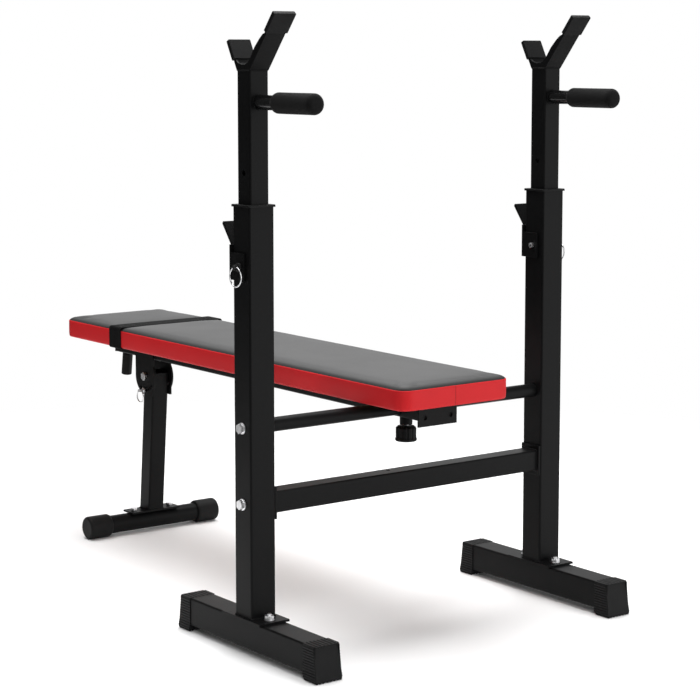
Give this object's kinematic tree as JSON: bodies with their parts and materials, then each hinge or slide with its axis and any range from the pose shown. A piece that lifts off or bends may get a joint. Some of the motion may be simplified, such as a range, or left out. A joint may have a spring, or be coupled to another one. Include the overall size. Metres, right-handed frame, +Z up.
{
  "type": "weight bench",
  "caption": "Flat weight bench with a rear leg on a pinned sector bracket, telescopic barbell forks, safety catches and foam dip handles.",
  "frame": {"origin": "on the floor, under the middle of the outline", "axes": "+X across from the left upright to the right one, +Y from the uprights to the rear leg, +Z up"},
  "size_m": [0.734, 1.241, 1.0862],
  "materials": {
    "frame_paint": "black powder coat, fine satin texture",
    "bench_paint": "black powder coat, fine satin texture",
    "moulded_plastic": "black moulded polypropylene, fine grain",
    "grip_foam": "black closed-cell foam",
    "zinc_hardware": "bright zinc plate",
    "pad_core": "upholstery foam, hidden",
    "plywood": "plain plywood, hidden",
    "red_vinyl": "red vinyl, light grain",
    "black_vinyl": "black vinyl, semi-gloss light grain",
    "webbing": "black woven webbing"
  },
  "bodies": {
    "frame": {"left_foot_tube": "frame_paint", "right_foot_tube": "frame_paint", "foot_end_caps": "moulded_plastic", "base_plates": "frame_paint", "base_bolts": "zinc_hardware", "left_upright": "frame_paint", "right_upright": "frame_paint", "upright_bushes": "moulded_plastic", "lower_crossbar": "frame_paint", "crossbar_end_plates": "frame_paint", "round_crossbar": "frame_paint", "crossbar_plugs": "zinc_hardware", "crossbar_bolts": "zinc_hardware", "left_safety_catch": "frame_paint", "right_safety_catch": "frame_paint"},
    "left_mast": {"left_post": "frame_paint", "left_fork": "frame_paint", "left_fork_caps": "moulded_plastic", "left_dip_bar": "frame_paint", "left_dip_grip": "grip_foam"},
    "right_mast": {"right_post": "frame_paint", "right_fork": "frame_paint", "right_fork_caps": "moulded_plastic", "right_dip_bar": "frame_paint", "right_dip_grip": "grip_foam"},
    "left_lock": {"left_post_pin": "zinc_hardware"},
    "right_lock": {"right_post_pin": "zinc_hardware"},
    "left_lock_ring": {"left_pin_ring": "zinc_hardware"},
    "right_lock_ring": {"right_pin_ring": "zinc_hardware"},
    "bench": {"bench_beam": "bench_paint", "beam_end_plug": "moulded_plastic", "front_plate": "bench_paint", "clamp_boss": "bench_paint", "pad_board": "plywood", "pad_foam": "pad_core", "pad_side_band": "red_vinyl", "pad_top_cover": "black_vinyl", "pad_strap": "webbing", "pad_screws": "zinc_hardware", "stop_peg": "bench_paint", "stop_peg_cap": "moulded_plastic", "sector_plates": "bench_paint", "pivot_bolt": "zinc_hardware", "pivot_nut": "zinc_hardware"},
    "clamp": {"clamp_knob": "moulded_plastic", "clamp_screw": "zinc_hardware"},
    "leg": {"leg_tube": "bench_paint", "leg_saddle": "bench_paint", "rear_foot_tube": "bench_paint", "rear_foot_caps": "moulded_plastic", "saddle_bolts": "zinc_hardware"},
    "leg_lock": {"leg_pin": "zinc_hardware"},
    "leg_lock_ring": {"leg_pin_ring": "zinc_hardware"}
  },
  "joints": [
    {"name": "left_post_height", "type": "slide", "parent": "frame", "child": "left_mast", "axis": [0, 0, 1], "range_m": [-0.078, 0.156]},
    {"name": "right_post_height", "type": "slide", "parent": "frame", "child": "right_mast", "axis": [0, 0, 1], "range_m": [-0.078, 0.156]},
    {"name": "left_pin_pull", "type": "slide", "parent": "frame", "child": "left_lock", "axis": [-1, 0, 0], "range_m": [0, 0.056]},
    {"name": "right_pin_pull", "type": "slide", "parent": "frame", "child": "right_lock", "axis": [1, 0, 0], "range_m": [0, 0.056]},
    {"name": "left_ring_swing", "type": "hinge", "parent": "left_lock", "child": "left_lock_ring", "pos_m": [-0.3625, -0.4065, 0.664], "axis": [0, 1, 0], "range_deg": [-5, 60]},
    {"name": "right_ring_swing", "type": "hinge", "parent": "right_lock", "child": "right_lock_ring", "pos_m": [0.3625, -0.4065, 0.664], "axis": [0, -1, 0], "range_deg": [-5, 60]},
    {"name": "bench_tilt", "type": "hinge", "parent": "frame", "child": "bench", "pos_m": [0, -0.4065, 0.391], "axis": [1, 0, 0], "range_deg": [-10, 80]},
    {"name": "clamp_turn", "type": "hinge", "parent": "bench", "child": "clamp", "pos_m": [0, -0.4065, 0.34], "axis": [0, 0, 1], "continuous": true},
    {"name": "leg_swing", "type": "hinge", "parent": "bench", "child": "leg", "pos_m": [0, 0.4555, 0.337], "axis": [1, 0, 0], "range_deg": [-60, 30]},
    {"name": "leg_pin_pull", "type": "slide", "parent": "leg", "child": "leg_lock", "axis": [-1, 0, 0], "range_m": [0, 0.048]},
    {"name": "leg_ring_swing", "type": "hinge", "parent": "leg_lock", "child": "leg_lock_ring", "pos_m": [-0.034, 0.45811, 0.30711], "axis": [0, 1, 0], "range_deg": [-15, 60]}
  ]
}
